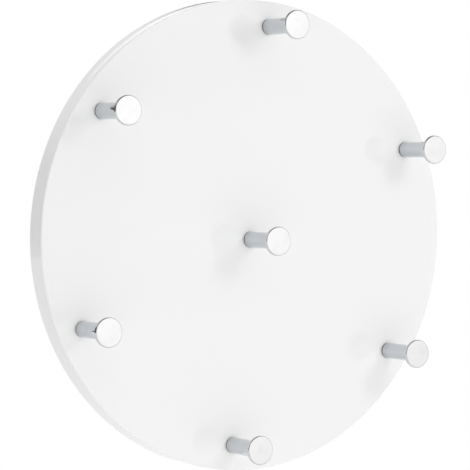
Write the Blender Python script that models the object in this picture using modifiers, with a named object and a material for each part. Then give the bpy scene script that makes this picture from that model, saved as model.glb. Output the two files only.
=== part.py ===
"""A round wall hook rack: a lacquered board with seven chromed pegs screwed on from behind.

The wall plane is y = 0 and the rack's back lies on it. The front looks along -Y, +Z is up, and
the origin is the middle of the board's back. Left and right are as seen from the front.
"""
import math

import bmesh
import bpy

# Sizes in metres: the board, a disc of MDF lacquered all round
BOARD_DIAMETER = 0.350
BOARD_THICKNESS = 0.018
BOARD_EDGE_RADIUS = 0.0010

# Where the pegs stand: six on a ring near the rim and one in the middle, a little low
RING_PEGS = ("top", "upper_right", "lower_right", "bottom", "lower_left", "upper_left")
PEG_TO_RIM = 0.019
CENTRE_PEG_DROP = 0.003

# The peg, turned in one piece: a round stem with a thin disc for its head
PEG_PROJECTION = 0.039
STEM_DIAMETER = 0.012
HEAD_OVERHANG = 0.00475
HEAD_THICKNESS = 0.0025
HEAD_EDGE_RADIUS = 0.0006
NECK_FILLET = 0.0008
STEM_FOOT_CHAMFER = 0.0005

# The M4 pan-head screw that holds a peg, and its large washer
SCREW_DIAMETER = 0.004
SCREW_HEAD_DIAMETER = 0.008
SCREW_HEAD_HEIGHT = 0.0031
SCREW_HEAD_CROWN = 0.0006
SCREW_TIP_CHAMFER = 0.0005
THREAD_IN_PEG = 0.012
TAPPED_HOLE_SPARE = 0.003
WASHER_DIAMETER = 0.012
WASHER_THICKNESS = 0.001
SCREW_HEAD_SINK = 0.0025

# The keyhole plate that hangs the board: entry hole below, slot above, a screw at each end
HANGER_SPACING = 0.160
HANGER_HEIGHT = 0.070
PLATE_WIDTH = 0.018
PLATE_LENGTH = 0.056
PLATE_THICKNESS = 0.002
ENTRY_DIAMETER = 0.0095
SLOT_WIDTH = 0.0048
SLOT_TRAVEL = 0.010
PLATE_SCREW_TO_END = 0.0055
WALL_SCREW_ROOM = 0.006
WALL_SCREW_MARGIN = 0.001

# The countersunk wood screw of a keyhole plate
WOOD_SCREW_DIAMETER = 0.003
WOOD_SCREW_HEAD_DIAMETER = 0.0058
WOOD_SCREW_LENGTH = 0.014
WOOD_SCREW_POINT = 0.003
WOOD_SCREW_SINK = 0.0003

# The cross recess, as the width and depth of its slots and a share of the head's diameter
RECESS_SLOT_WIDTH = 0.0009
RECESS_DEPTH = 0.0011
RECESS_LENGTH_SHARE = 0.62

# Room left between neighbours, and how far a cutter runs past what it cuts
CLEARANCE = 0.0003
OVERRUN = 0.002
MERGE_DISTANCE = 0.00001

# Facets: steps round each kind of piece
BOARD_STEPS = 144
PEG_STEPS = 32
SMALL_STEPS = 20
ARC_STEPS = 2
SHARP_ANGLE = math.radians(30)

# What follows from the sizes above; depths are measured from the wall plane towards the front
BOARD_RADIUS = BOARD_DIAMETER / 2
PEG_RING_RADIUS = BOARD_RADIUS - PEG_TO_RIM
STEM_RADIUS = STEM_DIAMETER / 2
HEAD_RADIUS = STEM_RADIUS + HEAD_OVERHANG
SCREW_HOLE_RADIUS = SCREW_DIAMETER / 2 + CLEARANCE
WASHER_DEPTH = SCREW_HEAD_SINK + SCREW_HEAD_HEIGHT + CLEARANCE
COUNTERBORE_DEPTH = WASHER_DEPTH + WASHER_THICKNESS + CLEARANCE
COUNTERBORE_RADIUS = WASHER_DIAMETER / 2 + CLEARANCE
PEG_FOOT_DEPTH = BOARD_THICKNESS + CLEARANCE
SCREW_END_DEPTH = PEG_FOOT_DEPTH + THREAD_IN_PEG
TAPPED_HOLE_DEPTH = THREAD_IN_PEG + TAPPED_HOLE_SPARE

FACING_FRONT = (math.pi / 2, 0, 0)


def clear_scene():
    for old in list(bpy.data.objects):
        bpy.data.objects.remove(old, do_unlink=True)


def new_collection(name):
    collection = bpy.data.collections.new(name)
    bpy.context.scene.collection.children.link(collection)
    return collection


def principled(name, colour, metallic, roughness, coat=0.0):
    material = bpy.data.materials.new(name)
    material.use_nodes = True
    shader = material.node_tree.nodes["Principled BSDF"]
    shader.inputs["Base Color"].default_value = (*colour, 1.0)
    shader.inputs["Metallic"].default_value = metallic
    shader.inputs["Roughness"].default_value = roughness
    shader.inputs["Coat Weight"].default_value = coat
    material.diffuse_color = (*colour, 1.0)
    return material


def arc(centre, radius, start, end, steps=ARC_STEPS):
    """Points on an arc from the start to the end angle, in degrees, both ends included."""
    points = []
    for step in range(steps + 1):
        angle = math.radians(start + (end - start) * step / steps)
        points.append((centre[0] + radius * math.cos(angle), centre[1] + radius * math.sin(angle)))
    return points


def settled_mesh(source):
    """The mesh of an object with its modifiers worked out, shaded smooth but for its edges."""
    depsgraph = bpy.context.evaluated_depsgraph_get()
    depsgraph.update()
    mesh = bpy.data.meshes.new_from_object(source.evaluated_get(depsgraph))
    mesh.name = source.name
    mesh.shade_smooth()
    mesh.set_sharp_from_angle(angle=SHARP_ANGLE)
    return mesh


def remove_sources(*sources):
    for source in sources:
        bpy.data.objects.remove(source, do_unlink=True)


def turned(name, profile, steps, ring=False):
    """A body turned about its own Z. The profile's (radius, height) points run down its outside.
    A ring's profile is closed: its last point is joined to its first."""
    mesh = bpy.data.meshes.new(name)
    points = [(radius, 0, height) for radius, height in profile]
    edges = [(i, i + 1) for i in range(len(points) - 1)]
    if ring:
        edges.append((len(points) - 1, 0))
    mesh.from_pydata(points, edges, [])
    body = bpy.data.objects.new(name, mesh)
    CUTTERS.objects.link(body)
    turn = body.modifiers.new("Turn", "SCREW")
    turn.steps = steps
    turn.render_steps = steps
    turn.use_merge_vertices = True
    turn.merge_threshold = MERGE_DISTANCE
    return body


def plate_from_outlines(name, outlines, thickness):
    """A flat body of the first outline, less the others, standing on z = 0."""
    curve = bpy.data.curves.new(name, "CURVE")
    curve.dimensions = "2D"
    curve.fill_mode = "BOTH"
    curve.extrude = thickness / 2
    for outline in outlines:
        spline = curve.splines.new("POLY")
        spline.points.add(len(outline) - 1)
        for point, (x, y) in zip(spline.points, outline):
            point.co = (x, y, 0, 1)
        spline.use_cyclic_u = True
    flat = bpy.data.objects.new(name, curve)
    CUTTERS.objects.link(flat)
    mesh = settled_mesh(flat)
    remove_sources(flat)
    shape = bmesh.new()
    shape.from_mesh(mesh)
    bmesh.ops.remove_doubles(shape, verts=shape.verts, dist=MERGE_DISTANCE)
    bmesh.ops.translate(shape, verts=shape.verts, vec=(0, 0, thickness / 2))
    shape.to_mesh(mesh)
    shape.free()
    body = bpy.data.objects.new(name, mesh)
    CUTTERS.objects.link(body)
    return body


def box(name, size, centre):
    shape = bmesh.new()
    bmesh.ops.create_cube(shape, size=1)
    bmesh.ops.scale(shape, vec=size, verts=shape.verts)
    bmesh.ops.translate(shape, vec=centre, verts=shape.verts)
    mesh = bpy.data.meshes.new(name)
    shape.to_mesh(mesh)
    shape.free()
    body = bpy.data.objects.new(name, mesh)
    CUTTERS.objects.link(body)
    return body


def cut(body, cutter):
    difference = body.modifiers.new("Cut by " + cutter.name, "BOOLEAN")
    difference.operation = "DIFFERENCE"
    difference.solver = "EXACT"
    difference.object = cutter


def cut_cross_recess(screw, head_diameter, top):
    """Two crossing slots in the head's top, as a cross-head driver needs. Returns the cutters."""
    length = head_diameter * RECESS_LENGTH_SHARE
    height = RECESS_DEPTH + OVERRUN
    centre = (0, 0, top + RECESS_DEPTH - height / 2)
    across = box("recess_across", (length, RECESS_SLOT_WIDTH, height), centre)
    along = box("recess_along", (RECESS_SLOT_WIDTH, length, height), centre)
    cut(screw, across)
    cut(screw, along)
    return across, along


def station(name, x, z):
    """An empty on the wall plane whose own Z runs out of the wall and whose own Y is up."""
    empty = bpy.data.objects.new(name, None)
    empty.location = (x, 0, z)
    empty.rotation_euler = FACING_FRONT
    RACK.objects.link(empty)
    return empty


def fit_piece(name, mesh, material, parent, depth=0.0):
    """One piece of the rack, standing at a depth from the wall plane on its station."""
    piece = bpy.data.objects.new(name, mesh)
    piece.parent = parent
    piece.location = (0, 0, depth)
    piece.data.materials.clear()
    piece.data.materials.append(material)
    RACK.objects.link(piece)
    return piece


def fit_cutter(name, mesh, parent, collection):
    cutter = bpy.data.objects.new(name, mesh)
    cutter.parent = parent
    cutter.hide_render = True
    cutter.display_type = "WIRE"
    collection.objects.link(cutter)
    return cutter


def peg_mesh():
    """The peg from its foot at z = 0 to the front of its head, with the tapped hole in its foot."""
    edge = min(HEAD_EDGE_RADIUS, HEAD_THICKNESS / 3)
    head_back = PEG_PROJECTION - HEAD_THICKNESS
    fillet = min(NECK_FILLET, HEAD_OVERHANG / 2)
    bore = SCREW_HOLE_RADIUS
    profile = [(0, PEG_PROJECTION)]
    profile += arc((HEAD_RADIUS - edge, PEG_PROJECTION - edge), edge, 90, 0)
    profile += arc((HEAD_RADIUS - edge, head_back + edge), edge, 0, -90)
    profile += arc((STEM_RADIUS + fillet, head_back - fillet), fillet, 90, 180)
    profile += [
        (STEM_RADIUS, STEM_FOOT_CHAMFER),
        (STEM_RADIUS - STEM_FOOT_CHAMFER, 0),
        (bore, 0),
        (bore, TAPPED_HOLE_DEPTH),
        (0, TAPPED_HOLE_DEPTH + bore / 2),
    ]
    peg = turned("peg", profile, PEG_STEPS)
    mesh = settled_mesh(peg)
    remove_sources(peg)
    return mesh


def washer_mesh():
    outer = WASHER_DIAMETER / 2
    inner = SCREW_HOLE_RADIUS
    profile = [(inner, WASHER_THICKNESS), (outer, WASHER_THICKNESS), (outer, 0), (inner, 0)]
    washer = turned("washer", profile, SMALL_STEPS, ring=True)
    mesh = settled_mesh(washer)
    remove_sources(washer)
    return mesh


def peg_screw_mesh():
    """The machine screw, at its depths from the wall plane: its head looks at the wall."""
    head = SCREW_HEAD_DIAMETER / 2
    shank = SCREW_DIAMETER / 2
    under_head = SCREW_HEAD_SINK + SCREW_HEAD_HEIGHT
    profile = [
        (0, SCREW_END_DEPTH),
        (shank - SCREW_TIP_CHAMFER, SCREW_END_DEPTH),
        (shank, SCREW_END_DEPTH - SCREW_TIP_CHAMFER),
        (shank, under_head),
        (head, under_head),
        (head, SCREW_HEAD_SINK + SCREW_HEAD_CROWN),
        (head - SCREW_HEAD_CROWN, SCREW_HEAD_SINK),
        (0, SCREW_HEAD_SINK),
    ]
    screw = turned("peg_screw", profile, SMALL_STEPS)
    recess = cut_cross_recess(screw, SCREW_HEAD_DIAMETER, SCREW_HEAD_SINK)
    mesh = settled_mesh(screw)
    remove_sources(screw, *recess)
    return mesh


def wood_screw_profile(room):
    """A countersunk screw from its point down to its head, grown all round by some room."""
    head = WOOD_SCREW_HEAD_DIAMETER / 2
    shank = WOOD_SCREW_DIAMETER / 2
    slant_room = room * math.sqrt(2)
    under_cone = WOOD_SCREW_SINK + head - shank
    end = WOOD_SCREW_SINK + WOOD_SCREW_LENGTH + room
    point_start = end - WOOD_SCREW_POINT
    return [
        (0, end),
        (shank + room, point_start),
        (shank + room, under_cone + slant_room - room),
        (head + slant_room, WOOD_SCREW_SINK),
    ]


def wood_screw_mesh():
    screw = turned("wood_screw", wood_screw_profile(0) + [(0, WOOD_SCREW_SINK)], SMALL_STEPS)
    recess = cut_cross_recess(screw, WOOD_SCREW_HEAD_DIAMETER, WOOD_SCREW_SINK)
    mesh = settled_mesh(screw)
    remove_sources(screw, *recess)
    return mesh


def stadium(width, low, high):
    """A slot with round ends, from the low to the high end along its own Y."""
    radius = width / 2
    half_turn = SMALL_STEPS // 2
    return (arc((0, high - radius), radius, 0, 180, half_turn)
            + arc((0, low + radius), radius, 180, 360, half_turn))


def keyhole_outline():
    """The round entry hole with the narrower slot rising from it."""
    entry = ENTRY_DIAMETER / 2
    slot = SLOT_WIDTH / 2
    mouth = math.degrees(math.asin(slot / entry))
    entry_arc = arc((0, ENTRY_HEIGHT), entry, 90 + mouth, 450 - mouth, SMALL_STEPS)
    slot_end = arc((0, SLOT_END_HEIGHT), slot, 0, 180, SMALL_STEPS // 2)
    return entry_arc + slot_end


def hanger_plate_mesh(screw_room):
    """The keyhole plate with its countersunk holes, its back on the wall plane."""
    outlines = [stadium(PLATE_WIDTH, -PLATE_LENGTH / 2, PLATE_LENGTH / 2), keyhole_outline()]
    plate = plate_from_outlines("hanger_plate", outlines, PLATE_THICKNESS)
    drills = []
    for side in (-1, 1):
        drill = bpy.data.objects.new("plate_drill", screw_room)
        drill.location = (0, side * PLATE_SCREW_HEIGHT, 0)
        CUTTERS.objects.link(drill)
        cut(plate, drill)
        drills.append(drill)
    mesh = settled_mesh(plate)
    remove_sources(plate, *drills)
    return mesh


def seat_mesh(name, outline, depth):
    """A milling cutter's path: an outline sunk from behind the wall plane to a depth."""
    path = plate_from_outlines(name, [outline], depth + OVERRUN)
    mesh = path.data
    remove_sources(path)
    for vertex in mesh.vertices:
        vertex.co.z -= OVERRUN
    return mesh


def board_object(material, cutter_collections):
    """The board: a disc with eased edges, less everything that is let into its back. Its two
    faces are shaded flat and its rim round."""
    shape = bmesh.new()
    bmesh.ops.create_cone(shape, cap_ends=True, segments=BOARD_STEPS, radius1=BOARD_RADIUS,
                          radius2=BOARD_RADIUS, depth=BOARD_THICKNESS)
    bmesh.ops.translate(shape, vec=(0, 0, BOARD_THICKNESS / 2), verts=shape.verts)
    mesh = bpy.data.meshes.new("round_board")
    shape.to_mesh(mesh)
    shape.free()
    for face in mesh.polygons:
        face.use_smooth = len(face.vertices) < BOARD_STEPS
    board = fit_piece("round_board", mesh, material, station("board_station", 0, 0))
    edges = board.modifiers.new("Eased edges", "BEVEL")
    edges.width = BOARD_EDGE_RADIUS
    edges.segments = ARC_STEPS
    edges.limit_method = "ANGLE"
    edges.angle_limit = SHARP_ANGLE
    for collection in cutter_collections:
        holes = board.modifiers.new(collection.name, "BOOLEAN")
        holes.operation = "DIFFERENCE"
        holes.solver = "EXACT"
        holes.operand_type = "COLLECTION"
        holes.collection = collection
    return board


clear_scene()
RACK = new_collection("round_wall_hook_rack")
CUTTERS = new_collection("cutters")
PEG_HOLES = new_collection("peg_holes")
PLATE_SEATS = new_collection("plate_seats")
WALL_SCREW_POCKETS = new_collection("wall_screw_pockets")
PILOT_HOLES = new_collection("pilot_holes")

lacquer = principled("white_lacquer", (0.85, 0.86, 0.86), 0.0, 0.12, coat=1.0)
chrome = principled("chrome", (0.85, 0.86, 0.88), 1.0, 0.06)
zinc = principled("zinc_plated_steel", (0.62, 0.64, 0.66), 1.0, 0.35)

# The keyhole plate's own heights, about its middle
KEYHOLE_LENGTH = ENTRY_DIAMETER / 2 + SLOT_TRAVEL + SLOT_WIDTH / 2
ENTRY_HEIGHT = (ENTRY_DIAMETER - KEYHOLE_LENGTH) / 2
SLOT_END_HEIGHT = ENTRY_HEIGHT + SLOT_TRAVEL
PLATE_SCREW_HEIGHT = PLATE_LENGTH / 2 - PLATE_SCREW_TO_END

# Pegs, each with its washer and screw, and the stepped holes that they need in the board
peg_places = [("centre", 0, -CENTRE_PEG_DROP)]
for index, place in enumerate(RING_PEGS):
    clock = math.tau * index / len(RING_PEGS)
    peg_places.append((place, PEG_RING_RADIUS * math.sin(clock), PEG_RING_RADIUS * math.cos(clock)))

peg_shape = peg_mesh()
washer_shape = washer_mesh()
peg_screw_shape = peg_screw_mesh()
hole_profile = [
    (0, BOARD_THICKNESS + OVERRUN),
    (SCREW_HOLE_RADIUS, BOARD_THICKNESS + OVERRUN),
    (SCREW_HOLE_RADIUS, COUNTERBORE_DEPTH),
    (COUNTERBORE_RADIUS, COUNTERBORE_DEPTH),
    (COUNTERBORE_RADIUS, -OVERRUN),
    (0, -OVERRUN),
]
hole_source = turned("peg_hole", hole_profile, SMALL_STEPS)
hole_shape = settled_mesh(hole_source)
remove_sources(hole_source)

for place, x, z in peg_places:
    peg_station = station("peg_station_" + place, x, z)
    fit_piece("peg_" + place, peg_shape, chrome, peg_station, PEG_FOOT_DEPTH)
    fit_piece("washer_" + place, washer_shape, zinc, peg_station, WASHER_DEPTH)
    fit_piece("peg_screw_" + place, peg_screw_shape, zinc, peg_station)
    fit_cutter("peg_hole_" + place, hole_shape, peg_station, PEG_HOLES)

# Keyhole plates with their screws, and the seats, pockets and pilot holes let into the board
wood_screw_shape = wood_screw_mesh()
room_source = turned("wood_screw_room", [*wood_screw_profile(CLEARANCE),
                     (WOOD_SCREW_HEAD_DIAMETER / 2 + CLEARANCE * math.sqrt(2), -OVERRUN),
                     (0, -OVERRUN)], SMALL_STEPS)
wood_screw_room = settled_mesh(room_source)
remove_sources(room_source)
plate_shape = hanger_plate_mesh(wood_screw_room)
seat_end = PLATE_LENGTH / 2 + CLEARANCE
seat_shape = seat_mesh("plate_seat", stadium(PLATE_WIDTH + 2 * CLEARANCE, -seat_end, seat_end),
                       PLATE_THICKNESS + CLEARANCE)
pocket_low = ENTRY_HEIGHT - ENTRY_DIAMETER / 2 - WALL_SCREW_MARGIN
pocket_high = SLOT_END_HEIGHT + ENTRY_DIAMETER / 2 + WALL_SCREW_MARGIN
pocket_shape = seat_mesh("wall_screw_pocket",
                         stadium(ENTRY_DIAMETER + 2 * WALL_SCREW_MARGIN, pocket_low, pocket_high),
                         PLATE_THICKNESS + CLEARANCE + WALL_SCREW_ROOM)

for side, x in (("left", -HANGER_SPACING / 2), ("right", HANGER_SPACING / 2)):
    hanger_station = station("hanger_station_" + side, x, HANGER_HEIGHT)
    fit_piece("hanger_plate_" + side, plate_shape, zinc, hanger_station)
    fit_cutter("plate_seat_" + side, seat_shape, hanger_station, PLATE_SEATS)
    fit_cutter("wall_screw_pocket_" + side, pocket_shape, hanger_station, WALL_SCREW_POCKETS)
    for end, height in (("low", -PLATE_SCREW_HEIGHT), ("high", PLATE_SCREW_HEIGHT)):
        screw = fit_piece("hanger_screw_" + side + "_" + end, wood_screw_shape, zinc, hanger_station)
        pilot = fit_cutter("pilot_hole_" + side + "_" + end, wood_screw_room, hanger_station,
                           PILOT_HOLES)
        screw.location.y = height
        pilot.location.y = height

board_object(lacquer, (PEG_HOLES, PLATE_SEATS, WALL_SCREW_POCKETS, PILOT_HOLES))
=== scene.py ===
"""The looks of a round wall hook rack: white lacquered board, chromed pegs, zinc-plated fittings.

Metres, with the wall plane at y = 0, the front towards -Y and +Z up.
"""
import math

import bmesh
import bpy
from mathutils import Matrix, Vector


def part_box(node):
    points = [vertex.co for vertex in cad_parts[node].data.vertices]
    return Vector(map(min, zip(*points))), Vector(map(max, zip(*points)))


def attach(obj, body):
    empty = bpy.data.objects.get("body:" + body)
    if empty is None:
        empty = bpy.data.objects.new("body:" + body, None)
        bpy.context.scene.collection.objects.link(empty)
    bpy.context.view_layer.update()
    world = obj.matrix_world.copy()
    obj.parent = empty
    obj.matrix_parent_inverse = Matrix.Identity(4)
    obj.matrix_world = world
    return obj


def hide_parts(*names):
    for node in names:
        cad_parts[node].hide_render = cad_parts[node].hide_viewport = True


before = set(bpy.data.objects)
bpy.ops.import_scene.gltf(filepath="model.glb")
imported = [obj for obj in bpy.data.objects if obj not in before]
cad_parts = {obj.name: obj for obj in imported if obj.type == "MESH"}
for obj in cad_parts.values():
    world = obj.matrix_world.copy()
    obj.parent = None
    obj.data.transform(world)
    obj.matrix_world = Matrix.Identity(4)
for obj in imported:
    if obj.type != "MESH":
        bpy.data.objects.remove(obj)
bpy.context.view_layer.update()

# The board: a disc of 18 mm MDF with its rim eased by a small round, sprayed all round with white
# high-gloss lacquer. Its back got a thinner, duller coat than its face.
BOARD_LOW, BOARD_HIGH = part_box("round_board")
BOARD_RADIUS = (BOARD_HIGH.x - BOARD_LOW.x) / 2
BOARD_THICKNESS = BOARD_HIGH.y - BOARD_LOW.y
BOARD_EDGE_RADIUS = 0.0010
BOARD_STEPS = 288
EDGE_SEGMENTS = 6
MERGE_DISTANCE = 0.000005

LACQUER_WHITE = (0.873, 0.872, 0.871, 1.0)
LACQUER_CLOUD = (0.86, 0.86, 0.86, 1.0)
LACQUER_CLOUDS_PER_METRE = 14.0
LACQUER_ROUGHNESS = 0.05
WIPES_PER_METRE = 55.0
WIPES_RANGE = (0.45, 0.75)
WIPES_ROUGHNESS = 0.025
BACK_COAT_ROUGHNESS = 0.16
ORANGE_PEEL_PER_METRE = 210.0
ORANGE_PEEL_DEPTH = 0.00002
BACK_SPRAY_PER_METRE = 900.0
BACK_SPRAY_SHARE = 0.35


class Wire:
    """A shader node's output. Sums and products of wires and numbers add their own Math nodes."""

    def __init__(self, tree, socket=None):
        self.tree = tree
        self.socket = socket

    def node(self, kind, settings=(), sockets=(), output=0):
        """Adds a node: its settings come first, then the values or links of its sockets."""
        added = self.tree.nodes.new("ShaderNode" + kind)
        for name, value in dict(settings).items():
            setattr(added, name, value)
        for name, value in dict(sockets).items():
            if isinstance(value, Wire):
                self.tree.links.new(value.socket, added.inputs[name])
            else:
                added.inputs[name].default_value = value
        return Wire(self.tree, added.outputs[output])

    def math(self, operation, *values):
        return self.node("Math", {"operation": operation}, dict(enumerate(values)))

    def __add__(self, other):
        return self.math("ADD", self, other)

    def __sub__(self, other):
        return self.math("SUBTRACT", self, other)

    def __rsub__(self, other):
        return self.math("SUBTRACT", other, self)

    def __mul__(self, other):
        return self.math("MULTIPLY", self, other)

    __radd__ = __add__
    __rmul__ = __mul__

    def part(self, axis):
        """One of a vector's three numbers."""
        return self.node("SeparateXYZ", {}, {"Vector": self}, output=axis)

    def between(self, low, high):
        """0 up to low, 1 from high on, and a smooth rise from one to the other."""
        return self.node("MapRange", {"interpolation_type": "SMOOTHSTEP"},
                         {"Value": self, "From Min": low, "From Max": high})


def new_finish(name, **even_values):
    """A material, with the values that are the same all over set on the shader's own sockets.
    Returns the material, the object coordinates and a function that feeds a socket."""
    material = bpy.data.materials.new(name)
    material.use_nodes = True
    tree = material.node_tree
    shader = tree.nodes["Principled BSDF"]
    for socket, value in even_values.items():
        shader.inputs[socket.replace("_", " ")].default_value = value
    place = Wire(tree).node("TexCoord", output="Object")

    def feed(socket, wire):
        tree.links.new(wire.socket, shader.inputs[socket])

    return material, place, feed


def noise(place, scale, detail=2.0, roughness=0.5):
    return place.node("TexNoise", {}, {"Vector": place, "Scale": scale, "Detail": detail,
                                       "Roughness": roughness})


def blend_colours(share, first, second):
    return share.node("Mix", {"data_type": "RGBA"}, {"Factor": share, "A": first, "B": second},
                      output="Result")


def bump(height, depth):
    return height.node("Bump", {}, {"Height": height, "Distance": depth, "Strength": 1.0})


def lacquer_finish():
    """White high gloss: faint clouding, soft orange peel, and a duller coat on the back."""
    material, place, feed = new_finish("white_lacquer", Specular_IOR_Level=0.5)
    clouds = noise(place, LACQUER_CLOUDS_PER_METRE)
    feed("Base Color", blend_colours(clouds, LACQUER_WHITE, LACQUER_CLOUD))
    on_back = place.part("Y").between(-BOARD_EDGE_RADIUS, -BOARD_EDGE_RADIUS / 4)
    wiped = noise(place, WIPES_PER_METRE, detail=3.0).between(*WIPES_RANGE)
    feed("Roughness", LACQUER_ROUGHNESS + wiped * WIPES_ROUGHNESS + on_back * BACK_COAT_ROUGHNESS)
    peel = noise(place, ORANGE_PEEL_PER_METRE, detail=1.0)
    spray = noise(place, BACK_SPRAY_PER_METRE)
    feed("Normal", bump(peel + spray * on_back * BACK_SPRAY_SHARE, ORANGE_PEEL_DEPTH))
    return material


def ease(shape, radius, height, width, segments=EDGE_SEGMENTS):
    """Rounds the circular edge of a turned shape that lies at this radius and height."""
    def lies_there(corner):
        return (abs(math.hypot(corner.co.x, corner.co.y) - radius) < MERGE_DISTANCE
                and abs(corner.co.z - height) < MERGE_DISTANCE)

    circle = [edge for edge in shape.edges if all(lies_there(corner) for corner in edge.verts)]
    bmesh.ops.bevel(shape, geom=circle, offset=width, offset_type="OFFSET", segments=segments,
                    profile=0.5, affect="EDGES", material=-1, clamp_overlap=True)


def stand(shape, x=0.0, z=0.0):
    """Turns a shape so that its Z runs out of the wall and its Y up, and moves it to x and z."""
    place = Matrix.Translation((x, 0, z)) @ Matrix.Rotation(math.pi / 2, 4, "X")
    bmesh.ops.transform(shape, matrix=place, verts=shape.verts)
    return shape


def link_mesh(name, shape, *materials):
    """An object of a bmesh, which is freed, in the scene."""
    mesh = bpy.data.meshes.new(name)
    shape.to_mesh(mesh)
    shape.free()
    for material in materials:
        mesh.materials.append(material)
    body = bpy.data.objects.new(name, mesh)
    bpy.context.scene.collection.objects.link(body)
    return body


disc = bmesh.new()
bmesh.ops.create_cone(disc, cap_ends=True, cap_tris=False, segments=BOARD_STEPS,
                      radius1=BOARD_RADIUS, radius2=BOARD_RADIUS, depth=BOARD_THICKNESS)
bmesh.ops.translate(disc, vec=(0, 0, BOARD_THICKNESS / 2), verts=disc.verts)
for height in (0, BOARD_THICKNESS):
    ease(disc, BOARD_RADIUS, height, BOARD_EDGE_RADIUS)
board = link_mesh("lacquered_board", stand(disc), lacquer_finish())

# The cuts in the board's back, made after the lacquer, so their walls show the bare brown board: a
# stepped hole for each peg's screw and washer, and for each keyhole plate a seat as deep as the
# plate, a deeper pocket for the wall screw's head, and two pilot holes.
PEG_PLACES = ("centre", "top", "upper_right", "lower_right", "bottom", "lower_left", "upper_left")
HANGER_SIDES = ("left", "right")
SCREW_ENDS = ("low", "high")
CLEARANCE = 0.0003
OVERRUN = 0.002
HOLE_STEPS = 64
SHARP_ANGLE = math.radians(35)

SCREW_RADIUS = 0.002
WASHER_LOW, WASHER_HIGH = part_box("washer_centre")
WASHER_RADIUS = (WASHER_HIGH.x - WASHER_LOW.x) / 2
WASHER_THICKNESS = WASHER_HIGH.y - WASHER_LOW.y
WASHER_DEPTH = -WASHER_HIGH.y
COUNTERBORE_DEPTH = WASHER_DEPTH + WASHER_THICKNESS + CLEARANCE
COUNTERBORE_RADIUS = WASHER_RADIUS + CLEARANCE

PLATE_LOW, PLATE_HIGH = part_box("hanger_plate_left")
PLATE_WIDTH = PLATE_HIGH.x - PLATE_LOW.x
PLATE_LENGTH = PLATE_HIGH.z - PLATE_LOW.z
PLATE_THICKNESS = PLATE_HIGH.y - PLATE_LOW.y
ENTRY_DIAMETER = 0.0095
SLOT_WIDTH = 0.0048
SLOT_TRAVEL = 0.010
WALL_SCREW_ROOM = 0.006
WALL_SCREW_MARGIN = 0.001
KEYHOLE_LENGTH = ENTRY_DIAMETER / 2 + SLOT_TRAVEL + SLOT_WIDTH / 2
ENTRY_HEIGHT = (ENTRY_DIAMETER - KEYHOLE_LENGTH) / 2
SLOT_END_HEIGHT = ENTRY_HEIGHT + SLOT_TRAVEL
WOOD_SCREW_RADIUS = 0.0015
WOOD_SCREW_POINT = 0.003

BARE_BOARD_LIGHT = (0.50, 0.36, 0.23, 1.0)
BARE_BOARD_DARK = (0.30, 0.20, 0.12, 1.0)
BARE_BOARD_RANGE = (0.3, 0.7)
FIBRES_PER_METRE = 1600.0
FIBRES_SHARE = 0.7
FIBRES_DEPTH = 0.00015
LAYERS_PER_METRE = 160.0


def bare_board_finish():
    """Cut MDF: brown, felted from short fibres, quite dull."""
    material, place, feed = new_finish("bare_board", Roughness=0.92, Specular_IOR_Level=0.3)
    fibres = noise(place, FIBRES_PER_METRE, detail=4.0, roughness=0.65)
    layers = noise(place, LAYERS_PER_METRE)
    light = (fibres * FIBRES_SHARE + layers * (1 - FIBRES_SHARE)).between(*BARE_BOARD_RANGE)
    feed("Base Color", blend_colours(light, BARE_BOARD_DARK, BARE_BOARD_LIGHT))
    feed("Normal", bump(fibres, FIBRES_DEPTH))
    return material


def spun(profile, steps, ring=False):
    """A profile of (radius, height) corners, spun about Z. A ring's profile is closed."""
    shape = bmesh.new()
    corners = [shape.verts.new((radius, 0, height)) for radius, height in profile]
    edges = [shape.edges.new(pair) for pair in zip(corners, corners[1:])]
    if ring:
        edges.append(shape.edges.new((corners[-1], corners[0])))
    bmesh.ops.spin(shape, geom=corners + edges, cent=(0, 0, 0), axis=(0, 0, 1), dvec=(0, 0, 0),
                   angle=math.tau, steps=steps, use_merge=True, use_duplicate=False)
    bmesh.ops.remove_doubles(shape, verts=shape.verts, dist=MERGE_DISTANCE)
    bmesh.ops.recalc_face_normals(shape, faces=shape.faces)
    return shape


def stadium(width, low, high, bottom, top, steps):
    """A slot with round ends, from low to high along Y and from bottom to top along Z."""
    shape = bmesh.new()
    bmesh.ops.create_cube(shape, size=1)
    bmesh.ops.scale(shape, vec=(width, high - low, top - bottom), verts=shape.verts)
    bmesh.ops.translate(shape, vec=(0, (low + high) / 2, (bottom + top) / 2), verts=shape.verts)
    upright = [edge for edge in shape.edges
               if abs(edge.verts[0].co.z - edge.verts[1].co.z) > (top - bottom) / 2]
    bmesh.ops.bevel(shape, geom=upright, offset=width / 2, offset_type="OFFSET", segments=steps,
                    profile=0.5, affect="EDGES", material=-1, clamp_overlap=True)
    bmesh.ops.remove_doubles(shape, verts=shape.verts, dist=MERGE_DISTANCE)
    return shape


def join_shapes(shapes):
    """One bmesh of several that don't touch."""
    joined = bmesh.new()
    for shape in shapes:
        part = bpy.data.meshes.new("part")
        shape.to_mesh(part)
        shape.free()
        joined.from_mesh(part)
        bpy.data.meshes.remove(part)
    return joined


def middle(node):
    low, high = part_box(node)
    return (low + high) / 2


def stepped_hole(node):
    """The hole behind one peg: a wide counterbore from the back and a narrow hole through."""
    through = BOARD_THICKNESS + OVERRUN
    profile = [
        (0, through),
        (SCREW_RADIUS + CLEARANCE, through),
        (SCREW_RADIUS + CLEARANCE, COUNTERBORE_DEPTH),
        (COUNTERBORE_RADIUS, COUNTERBORE_DEPTH),
        (COUNTERBORE_RADIUS, -OVERRUN),
        (0, -OVERRUN),
    ]
    place = middle(node)
    return stand(spun(profile, HOLE_STEPS), place.x, place.z)


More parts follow.
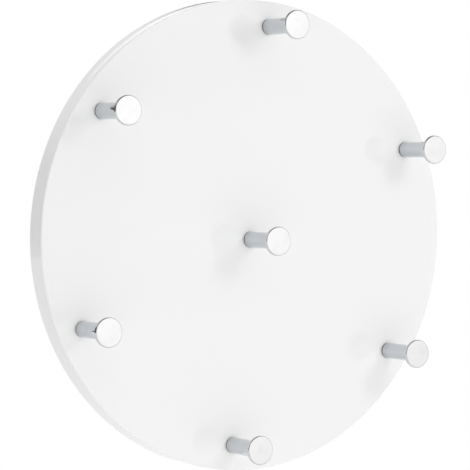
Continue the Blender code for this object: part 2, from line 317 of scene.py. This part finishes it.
def plate_seat(side):
    """The flat seat that a keyhole plate is let into."""
    place = middle("hanger_plate_" + side)
    end = PLATE_LENGTH / 2 + CLEARANCE
    return stand(stadium(PLATE_WIDTH + 2 * CLEARANCE, -end, end, -OVERRUN,
                         PLATE_THICKNESS + CLEARANCE, HOLE_STEPS // 4), place.x, place.z)


def wall_screw_pocket(side):
    """The room for the wall screw's head behind a keyhole plate."""
    place = middle("hanger_plate_" + side)
    low = ENTRY_HEIGHT - ENTRY_DIAMETER / 2 - WALL_SCREW_MARGIN
    high = SLOT_END_HEIGHT + ENTRY_DIAMETER / 2 + WALL_SCREW_MARGIN
    return stand(stadium(ENTRY_DIAMETER + 2 * WALL_SCREW_MARGIN, low, high, -OVERRUN,
                         PLATE_THICKNESS + CLEARANCE + WALL_SCREW_ROOM, HOLE_STEPS // 4),
                 place.x, place.z)


def pilot_hole(node):
    """A straight hole for a wood screw's shank, a little longer than the screw."""
    low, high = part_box(node)
    end = -low.y + CLEARANCE
    radius = WOOD_SCREW_RADIUS + CLEARANCE
    place = middle(node)
    profile = [(0, end), (radius, end - WOOD_SCREW_POINT), (radius, -OVERRUN), (0, -OVERRUN)]
    return stand(spun(profile, HOLE_STEPS // 2), place.x, place.z)


def cut_away(body, cutters):
    """Cuts bodies out of one, and leaves the cutters' material on the walls of the cuts."""
    for cutter in cutters:
        cut = body.modifiers.new("Cut by " + cutter.name, "BOOLEAN")
        cut.operation = "DIFFERENCE"
        cut.solver = "EXACT"
        cut.material_mode = "TRANSFER"
        cut.object = cutter
    depsgraph = bpy.context.evaluated_depsgraph_get()
    depsgraph.update()
    uncut = body.data
    body.data = bpy.data.meshes.new_from_object(body.evaluated_get(depsgraph))
    body.modifiers.clear()
    bpy.data.meshes.remove(uncut)
    for cutter in cutters:
        bpy.data.objects.remove(cutter, do_unlink=True)


def finish_piece(body, slot, *nodes):
    """Shades a piece round but for its sharp edges, and ties it to the frame."""
    body.data.shade_smooth()
    body.data.set_sharp_from_angle(angle=SHARP_ANGLE)
    flats = body.modifiers.new("Flat faces stay flat", "WEIGHTED_NORMAL")
    flats.keep_sharp = True
    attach(body, "root")
    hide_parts(*nodes)


bare_board = bare_board_finish()
hanger_screws = [f"hanger_screw_{side}_{end}" for side in HANGER_SIDES for end in SCREW_ENDS]
board_cuts = {
    "peg_holes": [stepped_hole("washer_" + place) for place in PEG_PLACES],
    "plate_seats": [plate_seat(side) for side in HANGER_SIDES],
    "screw_pockets": [wall_screw_pocket(side) for side in HANGER_SIDES],
    "pilot_holes": [pilot_hole(node) for node in hanger_screws],
}
cut_away(board, [link_mesh(name, join_shapes(cuts), bare_board) for name, cuts in board_cuts.items()])
finish_piece(board, "white_lacquer", "round_board")

# The pegs: turned from one piece of bar, a plain stem with a thin flat disc for its head, then
# polished and chromed. Each is tapped in its foot, and the screw behind pulls it onto the board.
STEM_RADIUS = 0.006
HEAD_THICKNESS = 0.0025
HEAD_FRONT_EDGE_RADIUS = 0.0009
HEAD_BACK_EDGE_RADIUS = 0.0004
NECK_FILLET = 0.0008
STEM_FOOT_CHAMFER = 0.0005
TAPPED_HOLE_DEPTH = 0.015
PEG_STEPS = 128

CHROME_ON_HEAD = (0.648, 0.648, 0.648, 1.0)
# The stem's cooler colour is a painted tint for the bluish reflections in it; head and stem are one
# chromed piece.
CHROME_ON_STEM_PAINTED_COOL = (0.622, 0.648, 0.676, 1.0)
CHROME_ROUGHNESS = 0.06
SMEARS_PER_METRE = 130.0
SMEARS_RANGE = (0.4, 0.8)
SMEARS_LOSS = 0.045
SMEARS_ROUGHNESS = 0.04
# Painted shade: the stem's colour darkens towards the foot, and its last millimetres are a dark painted
# shadow line where the peg meets the board.
PAINTED_FOOT_SHADE_HEIGHT = 0.012
PAINTED_FOOT_SHADE_LOSS = 0.14
PAINTED_FOOT_SHADOW = (0.05, 0.05, 0.05, 1.0)
PAINTED_FOOT_SHADOW_HEIGHT = 0.0023
PAINTED_FOOT_SHADOW_ROUGHNESS = 0.25
RIPPLE_PER_METRE = 700.0
RIPPLE_DEPTH = 0.0000015


def chrome_finish():
    """Polished chrome plate with the faintest smears from handling: neutral on the head, and cooler on
    the stem, a painted tint for its bluish reflections.
    It darkens towards the foot, a painted shade, and ends in a dull dark line, a painted shadow where
    the peg meets the board."""
    material, place, feed = new_finish("chrome", Metallic=1.0)
    depth = place.part("Y")
    head_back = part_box("peg_centre")[0].y + HEAD_THICKNESS
    on_stem = depth.between(head_back, head_back + NECK_FILLET)
    # Painted shade near the foot, and a painted shadow line right at the board.
    painted_foot_shade = depth.between(-BOARD_THICKNESS - PAINTED_FOOT_SHADE_HEIGHT, -BOARD_THICKNESS)
    on_painted_foot_shadow = depth.between(-BOARD_THICKNESS - PAINTED_FOOT_SHADOW_HEIGHT,
                                 -BOARD_THICKNESS - PAINTED_FOOT_SHADOW_HEIGHT / 2)
    smears = noise(place, SMEARS_PER_METRE, detail=3.0).between(*SMEARS_RANGE)
    # Painted reflection tint: the stem cooler than the head.
    clean_with_painted_stem_tint = blend_colours(on_stem, CHROME_ON_HEAD, CHROME_ON_STEM_PAINTED_COOL)
    kept_after_smears_and_shade = 1.0 - smears * SMEARS_LOSS - painted_foot_shade * PAINTED_FOOT_SHADE_LOSS
    smeared_and_shaded = clean_with_painted_stem_tint.node("VectorMath", {"operation": "SCALE"}, {0: clean_with_painted_stem_tint, "Scale": kept_after_smears_and_shade},
                        output="Vector")
    feed("Base Color", blend_colours(on_painted_foot_shadow, smeared_and_shaded, PAINTED_FOOT_SHADOW))
    feed("Roughness", CHROME_ROUGHNESS + smears * SMEARS_ROUGHNESS + on_painted_foot_shadow * PAINTED_FOOT_SHADOW_ROUGHNESS)
    feed("Normal", bump(noise(place, RIPPLE_PER_METRE, detail=1.0), RIPPLE_DEPTH))
    return material


def peg_shape(node):
    """A peg about Z, with its foot and its front as far from the wall as the node's."""
    low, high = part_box(node)
    foot = -high.y
    front = -low.y
    head_radius = (high.x - low.x) / 2
    head_back = front - HEAD_THICKNESS
    bore = SCREW_RADIUS + CLEARANCE
    shape = spun([
        (0, front),
        (head_radius, front),
        (head_radius, head_back),
        (STEM_RADIUS, head_back),
        (STEM_RADIUS, foot + STEM_FOOT_CHAMFER),
        (STEM_RADIUS - STEM_FOOT_CHAMFER, foot),
        (bore, foot),
        (bore, foot + TAPPED_HOLE_DEPTH),
        (0, foot + TAPPED_HOLE_DEPTH + bore / 2),
    ], PEG_STEPS)
    ease(shape, head_radius, front, HEAD_FRONT_EDGE_RADIUS)
    ease(shape, head_radius, head_back, HEAD_BACK_EDGE_RADIUS)
    ease(shape, STEM_RADIUS, head_back, NECK_FILLET)
    return shape


chrome = chrome_finish()
for place in PEG_PLACES:
    node = "peg_" + place
    centre = middle(node)
    peg = link_mesh("turned_" + node, stand(peg_shape(node), centre.x, centre.z), chrome)
    finish_piece(peg, "chrome", node)

# The fixings of the pegs: a zinc-plated M4 pan-head screw with a cross recess in each, driven from
# behind through a large flat washer that keeps its head from pulling into the board.
WASHER_EDGE_RADIUS = 0.0002
SCREW_HEAD_HEIGHT = 0.0031
SCREW_HEAD_ROUND = 0.0019
SCREW_TIP_CHAMFER = 0.0005
SCREW_STEPS = 64
RECESS_LENGTH_SHARE = 0.56
RECESS_WIDTH = 0.0012
RECESS_DEPTH = 0.0017
RECESS_TAPER_SHARE = 0.5

ZINC_LIGHT = (0.74, 0.76, 0.79, 1.0)
ZINC_DARK = (0.55, 0.58, 0.62, 1.0)
ZINC_STRAW = (0.70, 0.69, 0.60, 1.0)
ZINC_CLOUDS_PER_METRE = 320.0
ZINC_CLOUDS_RANGE = (0.3, 0.7)
ZINC_ROUGHNESS = 0.26
ZINC_CLOUDS_ROUGHNESS = 0.12
STRAW_PER_METRE = 75.0
STRAW_RANGE = (0.52, 0.72)
STRAW_SHARE = 0.5
TOOTH_PER_METRE = 2600.0
TOOTH_DEPTH = 0.00001


def zinc_finish():
    """Bright zinc plate: cool grey, cloudy, with a breath of straw yellow and a fine tooth."""
    material, place, feed = new_finish("zinc_plate", Metallic=1.0)
    clouds = noise(place, ZINC_CLOUDS_PER_METRE, detail=3.0, roughness=0.6).between(*ZINC_CLOUDS_RANGE)
    straw = noise(place, STRAW_PER_METRE).between(*STRAW_RANGE) * STRAW_SHARE
    grey = blend_colours(clouds, ZINC_LIGHT, ZINC_DARK)
    feed("Base Color", blend_colours(straw, grey, ZINC_STRAW))
    feed("Roughness", ZINC_ROUGHNESS + clouds * ZINC_CLOUDS_ROUGHNESS)
    feed("Normal", bump(noise(place, TOOTH_PER_METRE), TOOTH_DEPTH))
    return material


def recess_wedges(head_diameter, top):
    """Two crossed wedges, narrower at their bottom, for the cross recess in a screw's head."""
    length = head_diameter * RECESS_LENGTH_SHARE
    wedges = []
    for name, width, reach in (("recess_across", length, RECESS_WIDTH),
                               ("recess_along", RECESS_WIDTH, length)):
        shape = bmesh.new()
        bmesh.ops.create_cube(shape, size=1)
        bmesh.ops.scale(shape, vec=(width, reach, 2 * RECESS_DEPTH), verts=shape.verts)
        bmesh.ops.translate(shape, vec=(0, 0, top), verts=shape.verts)
        bottom = [corner for corner in shape.verts if corner.co.z > top]
        bmesh.ops.scale(shape, vec=(RECESS_TAPER_SHARE, RECESS_TAPER_SHARE, 1), verts=bottom)
        wedges.append(link_mesh(name, shape, zinc))
    return wedges


def peg_screw_shape(head_radius, top, end):
    """A pan-head screw about Z, from the top of its head to the end of its shank."""
    under_head = top + SCREW_HEAD_HEIGHT
    shape = spun([
        (0, end),
        (SCREW_RADIUS - SCREW_TIP_CHAMFER, end),
        (SCREW_RADIUS, end - SCREW_TIP_CHAMFER),
        (SCREW_RADIUS, under_head),
        (head_radius, under_head),
        (head_radius, top),
        (0, top),
    ], SCREW_STEPS)
    ease(shape, head_radius, top, SCREW_HEAD_ROUND, 2 * EDGE_SEGMENTS)
    return shape


def washer_shape():
    """A flat washer about Z, with its outer edge eased towards the back."""
    shape = spun([
        (SCREW_RADIUS + CLEARANCE, WASHER_DEPTH),
        (WASHER_RADIUS, WASHER_DEPTH),
        (WASHER_RADIUS, WASHER_DEPTH + WASHER_THICKNESS),
        (SCREW_RADIUS + CLEARANCE, WASHER_DEPTH + WASHER_THICKNESS),
    ], SCREW_STEPS, ring=True)
    ease(shape, WASHER_RADIUS, WASHER_DEPTH, WASHER_EDGE_RADIUS)
    return shape


def set_out(source, name, x, z):
    """A copy of a shape made about the origin, standing at x and z on the wall."""
    shape = bmesh.new()
    shape.from_mesh(source.data)
    return link_mesh(name, stand(shape, x, z), *source.data.materials)


zinc = zinc_finish()
screw_low, screw_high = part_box("peg_screw_centre")
screw_head_radius = (screw_high.x - screw_low.x) / 2
screw_source = link_mesh("screw_source",
                         peg_screw_shape(screw_head_radius, -screw_high.y, -screw_low.y), zinc)
cut_away(screw_source, recess_wedges(2 * screw_head_radius, -screw_high.y))
for place in PEG_PLACES:
    centre = middle("washer_" + place)
    washer = link_mesh("flat_washer_" + place, stand(washer_shape(), centre.x, centre.z), zinc)
    finish_piece(washer, "zinc_plate", "washer_" + place)
    screw = set_out(screw_source, "pan_head_screw_" + place, centre.x, centre.z)
    finish_piece(screw, "zinc_plate", "peg_screw_" + place)
bpy.data.objects.remove(screw_source, do_unlink=True)

# The hangers: stamped and zinc-plated keyhole plates, let in flush and held by two countersunk
# wood screws each. The wall screw's head enters the round hole and slides up behind the slot.
PLATE_EDGE_RADIUS = 0.00018
PLATE_EDGE_SEGMENTS = 2
WOOD_SCREW_SINK = 0.0003


def wood_screw_shape(head_radius, top, end):
    """A countersunk screw about Z, from its flat top to its point."""
    cone_end = top + head_radius - WOOD_SCREW_RADIUS
    return spun([
        (0, end),
        (WOOD_SCREW_RADIUS, end - WOOD_SCREW_POINT),
        (WOOD_SCREW_RADIUS, cone_end),
        (head_radius, top),
        (0, top),
    ], SCREW_STEPS)


def entry_hole():
    """The round hole of a keyhole, where the wall screw's head goes in."""
    shape = spun([
        (0, PLATE_THICKNESS + OVERRUN),
        (ENTRY_DIAMETER / 2, PLATE_THICKNESS + OVERRUN),
        (ENTRY_DIAMETER / 2, -OVERRUN),
        (0, -OVERRUN),
    ], HOLE_STEPS)
    bmesh.ops.translate(shape, vec=(0, ENTRY_HEIGHT, 0), verts=shape.verts)
    return shape


def countersink(head_radius, height):
    """The room that a countersunk screw needs in the plate."""
    room = CLEARANCE * math.sqrt(2)
    shank = WOOD_SCREW_RADIUS + CLEARANCE
    shape = spun([
        (0, PLATE_THICKNESS + OVERRUN),
        (shank, PLATE_THICKNESS + OVERRUN),
        (shank, WOOD_SCREW_SINK + head_radius + room - shank),
        (head_radius + room, WOOD_SCREW_SINK),
        (head_radius + room, -OVERRUN),
        (0, -OVERRUN),
    ], SCREW_STEPS)
    bmesh.ops.translate(shape, vec=(0, height, 0), verts=shape.verts)
    return shape


wood_low, wood_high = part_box("hanger_screw_left_low")
wood_head_radius = (wood_high.x - wood_low.x) / 2
plate_screw_height = middle("hanger_screw_left_high").z - middle("hanger_plate_left").z
plate_source = link_mesh("plate_source", stadium(PLATE_WIDTH, -PLATE_LENGTH / 2, PLATE_LENGTH / 2,
                                                 0, PLATE_THICKNESS, HOLE_STEPS // 2), zinc)
slot = stadium(SLOT_WIDTH, ENTRY_HEIGHT, SLOT_END_HEIGHT + SLOT_WIDTH / 2, -OVERRUN,
               PLATE_THICKNESS + OVERRUN, HOLE_STEPS // 4)
countersinks = join_shapes(countersink(wood_head_radius, side * plate_screw_height)
                           for side in (-1, 1))
cut_away(plate_source, [link_mesh("entry", entry_hole(), zinc), link_mesh("slot", slot, zinc),
                        link_mesh("countersinks", countersinks, zinc)])

wood_screw_source = link_mesh("wood_screw_source",
                              wood_screw_shape(wood_head_radius, -wood_high.y, -wood_low.y), zinc)
cut_away(wood_screw_source, recess_wedges(2 * wood_head_radius, -wood_high.y))
for side in HANGER_SIDES:
    centre = middle("hanger_plate_" + side)
    plate = set_out(plate_source, "keyhole_plate_" + side, centre.x, centre.z)
    edges = plate.modifiers.new("Stamped edges", "BEVEL")
    edges.width = PLATE_EDGE_RADIUS
    edges.segments = PLATE_EDGE_SEGMENTS
    edges.limit_method = "ANGLE"
    edges.angle_limit = SHARP_ANGLE
    finish_piece(plate, "zinc_plate", "hanger_plate_" + side)
    for end in SCREW_ENDS:
        node = f"hanger_screw_{side}_{end}"
        centre = middle(node)
        screw = set_out(wood_screw_source, f"wood_screw_{side}_{end}", centre.x, centre.z)
        finish_piece(screw, "zinc_plate", node)
for source in (plate_source, wood_screw_source):
    bpy.data.objects.remove(source, do_unlink=True)

# The floor of the studio: a pale matt disc far below the rack, clear from below. To the camera and
# to gloss it fades into the white surround at its edge.
FLOOR_HEIGHT = -0.42
FLOOR_RADIUS = 2.5
FLOOR_FADE_RANGE = (0.8, 1.8)
FLOOR_SIDES = 64
FLOOR_COLOUR = (0.93, 0.93, 0.93, 1.0)
FLOOR_ROUGHNESS = 0.9


def mixed_surface(tree, share, first, second):
    """A mix of two shaders: the first where the share is 0, the second where it is 1."""
    mix = tree.nodes.new("ShaderNodeMixShader")
    tree.links.new(share.socket, mix.inputs["Fac"])
    tree.links.new(first.outputs[0], mix.inputs[1])
    tree.links.new(second.outputs[0], mix.inputs[2])
    return mix


def show_surface(tree, shader):
    tree.links.new(shader.outputs[0], tree.nodes["Material Output"].inputs["Surface"])


floor_finish = bpy.data.materials.new("studio_floor")
floor_finish.use_nodes = True
floor_tree = floor_finish.node_tree
matt = floor_tree.nodes["Principled BSDF"]
matt.inputs["Base Color"].default_value = FLOOR_COLOUR
matt.inputs["Roughness"].default_value = FLOOR_ROUGHNESS
floor_place = Wire(floor_tree).node("TexCoord", output="Object")
distance = floor_place.node("VectorMath", {"operation": "LENGTH"}, {0: floor_place},
                            output="Value")
seen = floor_place.node("LightPath", output="Is Camera Ray")
mirrored = floor_place.node("LightPath", output="Is Glossy Ray")
faded = distance.between(*FLOOR_FADE_RANGE) * seen.math("MAXIMUM", seen, mirrored)
underside = floor_place.node("NewGeometry", output="Backfacing")
white = floor_tree.nodes.new("ShaderNodeEmission")
clear = floor_tree.nodes.new("ShaderNodeBsdfTransparent")
upper_side = mixed_surface(floor_tree, faded, matt, white)
show_surface(floor_tree, mixed_surface(floor_tree, underside, upper_side, clear))
floor_sheet = bmesh.new()
bmesh.ops.create_circle(floor_sheet, cap_ends=True, segments=FLOOR_SIDES, radius=FLOOR_RADIUS)
floor = link_mesh("floor", floor_sheet, floor_finish)
floor.location.z = FLOOR_HEIGHT

# The surround: soft light, brighter from above and weaker from the front and the left. Gloss sees
# one of its own, white with a broad bright patch at the front right, a dark strip of wall behind, a
# dark ceiling and a dim left. The camera sees plain white.
SURROUND = 0.78
TOP_LIGHT = 0.64
FRONT_LOSS = 0.72
LEFT_LOSS = 0.19
PATCH_DIRECTION = (0.30, -0.93, 0.21)
PATCH_EDGE = math.cos(math.radians(35))
PATCH_GAIN = 0.59
WALL_DIM = 0.90
WALL_SHARE_BELOW = 0.25
WALL_FADE_UP = 0.65
CEILING_DIM = 0.80
CEILING_FADE_RIGHT = 0.45
LEFT_DIM = 0.75

# Each range is where a change starts and ends, in one part of the unit direction.
LEFT_LOSS_RANGE = (0.35, 1.0)
WALL_OUTER_RANGE = (0.35, 0.65)
WALL_INNER_RANGE = (0.90, 0.97)
WALL_BELOW_RANGE = (-0.25, -0.05)
WALL_UP_RANGE = (0.15, 0.45)
CEILING_RANGE = (0.50, 0.72)
CEILING_RIGHT_RANGE = (0.1, 0.5)
LEFT_DIM_RANGE = (0.62, 0.85)

world = bpy.data.worlds.new("white_surround")
bpy.context.scene.world = world
world.use_nodes = True
world_tree = world.node_tree
direction = Wire(world_tree).node("TexCoord", output="Generated")
rightward, backward, upward = (direction.part(axis) for axis in "XYZ")
leftward = rightward * -1.0
frontward = backward * -1.0
light = (SURROUND + TOP_LIGHT * upward.math("MAXIMUM", upward, 0.0)
         - FRONT_LOSS * frontward.between(0.0, 1.0) - LEFT_LOSS * leftward.between(*LEFT_LOSS_RANGE))

towards_patch = direction.node("VectorMath", {"operation": "DOT_PRODUCT"},
                               {0: direction, 1: Vector(PATCH_DIRECTION).normalized()},
                               output="Value")
patch = towards_patch.between(PATCH_EDGE, 1.0)
wall = (backward.between(*WALL_OUTER_RANGE) * (1.0 - backward.between(*WALL_INNER_RANGE))
        * (WALL_SHARE_BELOW + (1.0 - WALL_SHARE_BELOW) * upward.between(*WALL_BELOW_RANGE))
        * (1.0 - WALL_FADE_UP * upward.between(*WALL_UP_RANGE)))
ceiling = (upward.between(*CEILING_RANGE)
           * (1.0 - CEILING_FADE_RIGHT * rightward.between(*CEILING_RIGHT_RANGE)))
left = leftward.between(*LEFT_DIM_RANGE) * (1.0 - wall)
gloss = ((1.0 + PATCH_GAIN * patch) * (1.0 - WALL_DIM * wall) * (1.0 - CEILING_DIM * ceiling)
         * (1.0 - LEFT_DIM * left))

for_gloss = direction.node("LightPath", output="Is Glossy Ray")
plain_white = direction.math("MAXIMUM", direction.node("LightPath", output="Is Camera Ray"),
                             direction.node("LightPath", output="Is Transmission Ray"))
strength = light + for_gloss * (gloss - light)
strength = strength + plain_white * (1.0 - strength)
background = world_tree.nodes["Background"]
background.inputs["Color"].default_value = (1.0, 1.0, 1.0, 1.0)
world_tree.links.new(strength.socket, background.inputs["Strength"])

# The lamps: a fill straight ahead that throws no shadow, and a soft key near the rack at its upper
# right, which throws the pegs' shadows down to the left. Neither the camera nor gloss sees them.
FILL_LIGHT = 0.275
FILL_PLACE = (0, -1, 0)
KEY_LIGHT = 0.14
KEY_PLACE = (0.25, -0.61, 0.30)
KEY_WIDTH = 0.18


def set_lamp(name, kind, place, energy):
    """A lamp that looks at the middle of the rack, and that neither camera nor gloss can see."""
    glow = bpy.data.lights.new(name, kind)
    glow.energy = energy
    lamp = bpy.data.objects.new(name, glow)
    lamp.location = place
    lamp.rotation_euler = (-Vector(place)).to_track_quat("-Z", "Y").to_euler()
    lamp.visible_camera = False
    lamp.visible_glossy = False
    bpy.context.scene.collection.objects.link(lamp)
    return glow


# The fill makes a white surface that faces it as bright as FILL_LIGHT. The key's power goes with the
# square of its distance in front of the wall, as light fades with the square.
fill = set_lamp("fill", "SUN", FILL_PLACE, FILL_LIGHT * math.pi)
fill.use_shadow = False
key = set_lamp("key", "AREA", KEY_PLACE, KEY_LIGHT * math.pi ** 2 * KEY_PLACE[1] ** 2)
key.shape = "DISK"
key.size = KEY_WIDTH

# A glowing sheet, seen only in the gloss of the rim: a painted reflection of the wall behind the rack,
# lit up to the board's shadow, which falls to the left, so a bright crescent lies past the board's
# upper left. Only that crescent is here, a little in front of the wall plane, and neither the camera
# nor the shading sees it.
SHADOW_SHIFT = 0.0046
LIT_WALL_REACH = 0.0050
LIT_WALL_LIFT = 0.0005
LIT_WALL_GLOW = 1.35
LIT_WALL_LEFT_FADE = (-0.152, -0.140)
LIT_WALL_RIGHT_FADE = (-0.04, 0.12)

lit_wall_finish = bpy.data.materials.new("lit_wall")
lit_wall_finish.use_nodes = True
lit_wall_tree = lit_wall_finish.node_tree
lit_wall_tree.nodes.remove(lit_wall_tree.nodes["Principled BSDF"])
sideways = Wire(lit_wall_tree).node("TexCoord", output="Object").part("X")
lit = sideways.between(*LIT_WALL_LEFT_FADE) * (1.0 - sideways.between(*LIT_WALL_RIGHT_FADE))
glow = lit_wall_tree.nodes.new("ShaderNodeEmission")
glow.inputs["Strength"].default_value = LIT_WALL_GLOW
unlit = lit_wall_tree.nodes.new("ShaderNodeBsdfTransparent")
show_surface(lit_wall_tree, mixed_surface(lit_wall_tree, lit, unlit, glow))

crescent = bmesh.new()
bmesh.ops.create_circle(crescent, segments=BOARD_STEPS, radius=BOARD_RADIUS + LIT_WALL_REACH)
shadow_edge = bmesh.ops.create_circle(crescent, segments=BOARD_STEPS, radius=BOARD_RADIUS)
bmesh.ops.translate(crescent, vec=(-SHADOW_SHIFT, 0, 0), verts=shadow_edge["verts"])
bmesh.ops.bridge_loops(crescent, edges=crescent.edges)
bmesh.ops.translate(crescent, vec=(0, 0, LIT_WALL_LIFT), verts=crescent.verts)
bmesh.ops.bisect_plane(crescent, geom=crescent.verts[:] + crescent.edges[:] + crescent.faces[:],
                       plane_co=(0, 0, 0), plane_no=(0, -1, 0), clear_outer=True)
lit_wall = link_mesh("lit_wall", stand(crescent), lit_wall_finish)
lit_wall.visible_camera = False
lit_wall.visible_diffuse = False
lit_wall.visible_transmission = False
lit_wall.visible_shadow = False

# The camera, fitted to points measured in the photo. It stands to the left of the rack, at about its
# height, and is rolled a little. Its focal length is in pixels of the photo, like the photo's width.
CAMERA_AZIMUTH = math.radians(-32.58)
CAMERA_ELEVATION = math.radians(-1.03)
CAMERA_ROLL = math.radians(4.95)
CAMERA_DISTANCE = 1.7444
CAMERA_SIDESTEP = -0.00167
CAMERA_LIFT = -0.00017
FOCAL_LENGTH_PIXELS = 2325
PHOTO_WIDTH_PIXELS = 470
SENSOR_WIDTH = 36.0

back = Vector((math.sin(CAMERA_AZIMUTH) * math.cos(CAMERA_ELEVATION),
               -math.cos(CAMERA_AZIMUTH) * math.cos(CAMERA_ELEVATION),
               math.sin(CAMERA_ELEVATION)))
level = Vector((math.cos(CAMERA_AZIMUTH), math.sin(CAMERA_AZIMUTH), 0))
upright = back.cross(level)
right = level * math.cos(CAMERA_ROLL) + upright * math.sin(CAMERA_ROLL)
up = upright * math.cos(CAMERA_ROLL) - level * math.sin(CAMERA_ROLL)
turn = Matrix((right, up, back)).transposed().to_4x4()
lens = bpy.data.cameras.new("camera")
lens.sensor_width = SENSOR_WIDTH
lens.lens = SENSOR_WIDTH * (FOCAL_LENGTH_PIXELS / PHOTO_WIDTH_PIXELS)
camera = bpy.data.objects.new("camera", lens)
stand_point = back * CAMERA_DISTANCE + right * CAMERA_SIDESTEP + up * CAMERA_LIFT
camera.matrix_world = Matrix.Translation(stand_point) @ turn
bpy.context.scene.collection.objects.link(camera)
bpy.context.scene.camera = camera
bpy.context.scene.view_settings.view_transform = "Standard"
